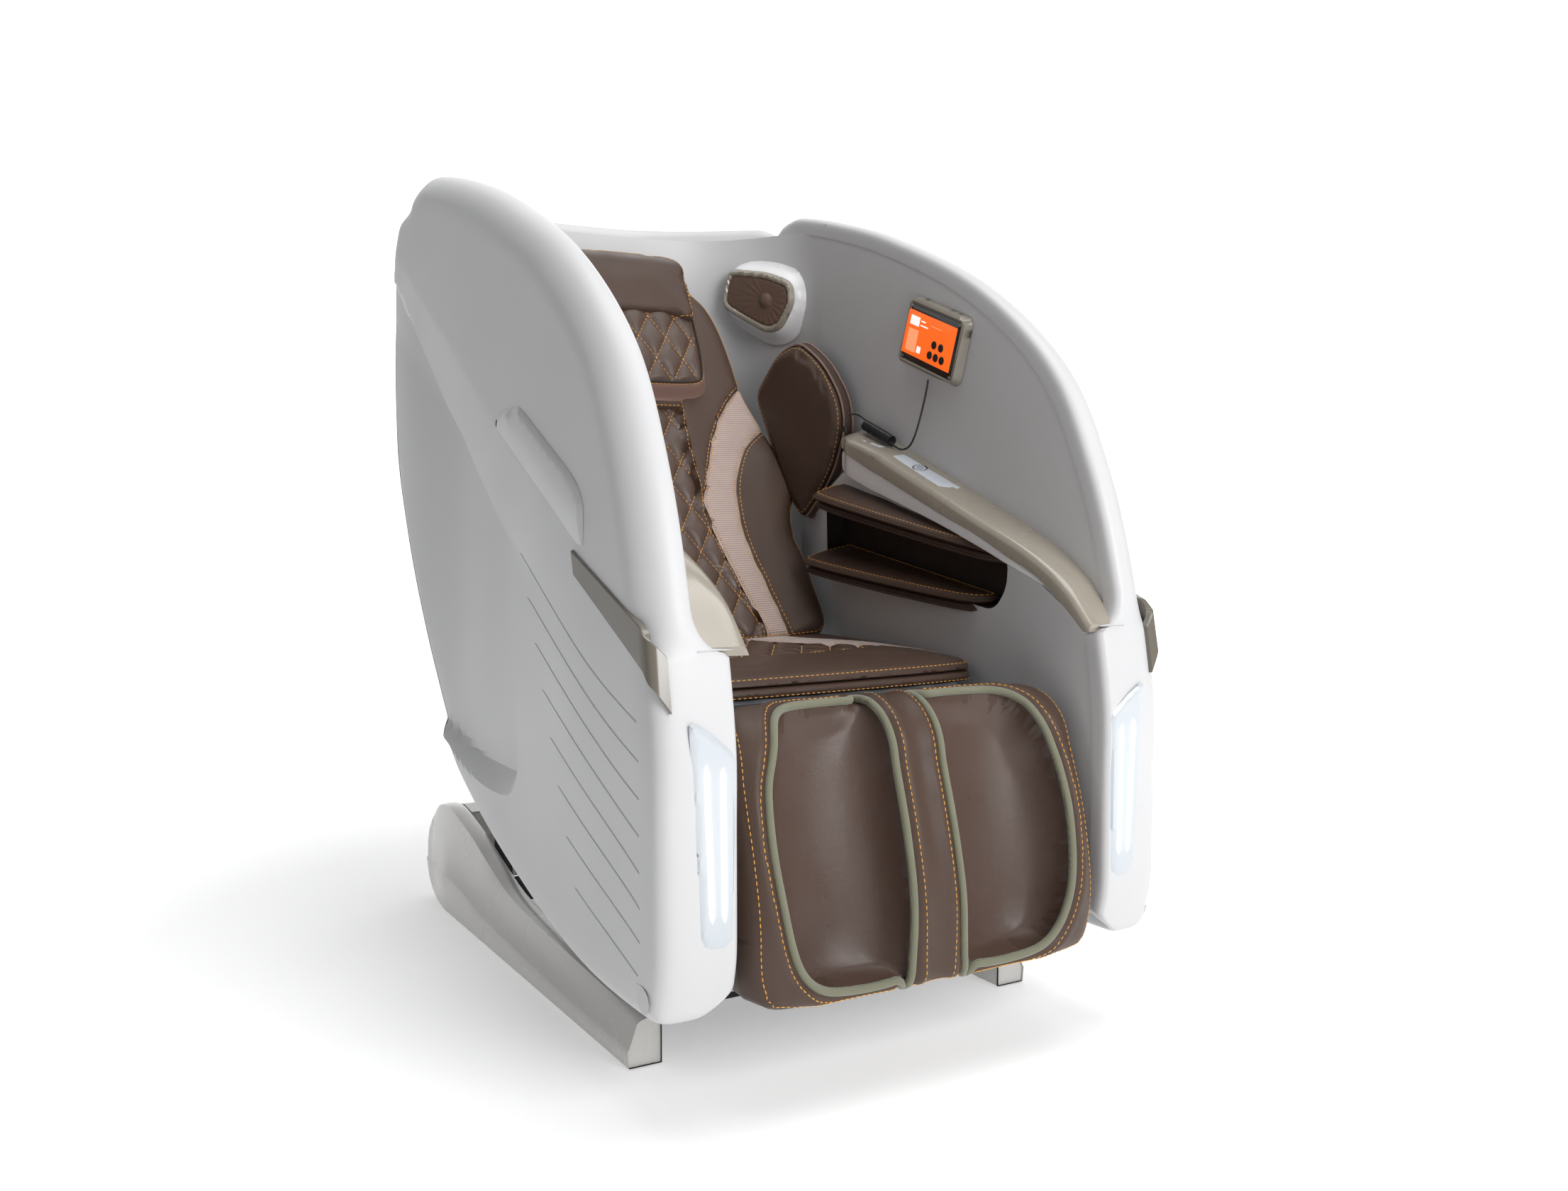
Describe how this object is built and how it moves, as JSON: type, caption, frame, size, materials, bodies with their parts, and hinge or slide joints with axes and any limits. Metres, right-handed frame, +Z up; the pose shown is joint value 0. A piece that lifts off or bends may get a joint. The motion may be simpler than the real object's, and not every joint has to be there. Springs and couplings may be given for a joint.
{
  "type": "massage chair",
  "caption": "Coin-operated massage chair with a two-sided white shell that tilts on a low floor base, brown padded seat and back, lifting calf rest, arm pads and a wall tablet.",
  "frame": {"origin": "on the floor, at the centre of the outline seen from above", "axes": "+X across to the occupant's left, -Y is the front that the occupant faces, +Z up"},
  "size_m": [0.736, 1.12, 1.204],
  "materials": {
    "shell_white": "satin",
    "liner_grey": "satin",
    "base_plastic": "gloss",
    "steel_black": "satin",
    "steel_bright": "polished",
    "rubber_black": "matte",
    "plastic_black": "satin",
    "switch_red": "gloss",
    "trim_taupe": "gloss",
    "armrest_taupe": "gloss",
    "lamp_panel": "satin",
    "lamp_light": "glowing",
    "charger_blue_grey": "brushed",
    "leather_brown": "satin",
    "speaker_brown": "matte",
    "tablet_bezel": "satin",
    "tablet_glass": "gloss",
    "cord_black": "satin",
    "apron_fabric": "matte",
    "legrest_plastic": "satin"
  },
  "bodies": {
    "base": {"base_frame": "steel_black", "base_cover_left": "base_plastic", "base_cover_right": "base_plastic", "base_rear_cover": "base_plastic", "base_feet": "rubber_black", "power_inlet": "plastic_black", "tilt_shaft": "steel_bright", "tilt_actuator_tube": "steel_black"},
    "switch_rocker": {"power_switch": "switch_red"},
    "wheel_left": {"transport_wheel_left": "plastic_black"},
    "wheel_right": {"transport_wheel_right": "plastic_black"},
    "tilt_rod": {"tilt_actuator_rod": "steel_bright"},
    "head_pillow": {"head_pillow": "leather_brown"},
    "legrest": {"legrest_shell": "legrest_plastic", "legrest_pad": "leather_brown"},
    "leg_rod": {"leg_actuator_rod": "steel_bright"},
    "carriage": {"massage_carriage": "steel_black"},
    "knead_left": {"knead_head_left": "plastic_black"},
    "knead_right": {"knead_head_right": "plastic_black"},
    "cabin": {"cabin_frame": "steel_black", "side_shell_left": "shell_white", "side_shell_right": "shell_white", "back_shell": "shell_white", "side_liner_left": "liner_grey", "side_liner_right": "liner_grey", "back_liner": "liner_grey", "trim_blade_left": "trim_taupe", "trim_blade_right": "trim_taupe", "badge_plate_left": "shell_white", "badge_plate_right": "shell_white", "lamp_lens_left": "lamp_panel", "lamp_lens_right": "lamp_panel", "lamp_bars_left": "lamp_light", "lamp_bars_right": "lamp_light", "armrest_left": "liner_grey", "armrest_right": "liner_grey", "armrest_cover_left": "armrest_taupe", "armrest_cover_right": "armrest_taupe", "charger_pad": "charger_blue_grey", "phone_tray": "plastic_black", "arm_pad_upper_left": "leather_brown", "arm_pad_upper_right": "leather_brown", "arm_pad_lower_left": "leather_brown", "arm_pad_lower_right": "leather_brown", "shoulder_pad_left": "leather_brown", "shoulder_pad_right": "leather_brown", "speaker_pod_left": "liner_grey", "speaker_pod_right": "liner_grey", "speaker_grille_left": "speaker_brown", "speaker_grille_right": "speaker_brown", "tablet_housing": "tablet_bezel", "tablet_screen": "tablet_glass", "cord_gland": "cord_black", "cord_lead_lower": "cord_black", "cord_coil": "cord_black", "cord_lead_upper": "cord_black", "seat_cushion": "leather_brown", "backrest_cushion": "leather_brown", "seat_apron": "apron_fabric", "leg_actuator_tube": "steel_black"}
  },
  "joints": [
    {"name": "cabin_tilt", "type": "hinge", "parent": "base", "child": "cabin", "pos_m": [0, 0.327, 0.15], "axis": [-1, 0, 0], "range_deg": [0, 15]},
    {"name": "tilt_rod_extend", "type": "slide", "parent": "base", "child": "tilt_rod", "axis": [0, 0.4555, 0.8902], "range_m": [0, 0.119]},
    {"name": "legrest_lift", "type": "hinge", "parent": "cabin", "child": "legrest", "pos_m": [0, -0.345, 0.405], "axis": [-1, 0, 0], "range_deg": [0, 50]},
    {"name": "leg_rod_extend", "type": "slide", "parent": "cabin", "child": "leg_rod", "axis": [0, -1, 0], "range_m": [0, 0.078]},
    {"name": "carriage_travel", "type": "slide", "parent": "cabin", "child": "carriage", "axis": [0, 0.454, 0.891], "range_m": [0, 0.4]},
    {"name": "knead_left_spin", "type": "hinge", "parent": "carriage", "child": "knead_left", "pos_m": [0.062, 0.2204, 0.53361], "axis": [0, 0.891, -0.454], "continuous": true},
    {"name": "knead_right_spin", "type": "hinge", "parent": "carriage", "child": "knead_right", "pos_m": [-0.062, 0.2204, 0.53361], "axis": [0, 0.891, -0.454], "continuous": true},
    {"name": "pillow_flip", "type": "hinge", "parent": "cabin", "child": "head_pillow", "pos_m": [0, 0.40081, 1.08702], "axis": [-1, 0, 0], "range_deg": [0, 100]},
    {"name": "switch_rock", "type": "hinge", "parent": "base", "child": "switch_rocker", "pos_m": [0.07, 0.508, 0.076], "axis": [1, 0, 0], "range_deg": [0, 12]},
    {"name": "wheel_left_spin", "type": "hinge", "parent": "base", "child": "wheel_left", "pos_m": [0.234, 0.5, 0.034], "axis": [1, 0, 0], "continuous": true},
    {"name": "wheel_right_spin", "type": "hinge", "parent": "base", "child": "wheel_right", "pos_m": [-0.234, 0.5, 0.034], "axis": [1, 0, 0], "continuous": true}
  ],
  "couplings": [
    {"joint": "tilt_rod_extend", "follows": "cabin_tilt", "m_per_rad": 0.4447},
    {"joint": "leg_rod_extend", "follows": "legrest_lift", "m_per_rad": 0.0872},
    {"joint": "knead_right_spin", "follows": "knead_left_spin", "ratio": -1}
  ]
}
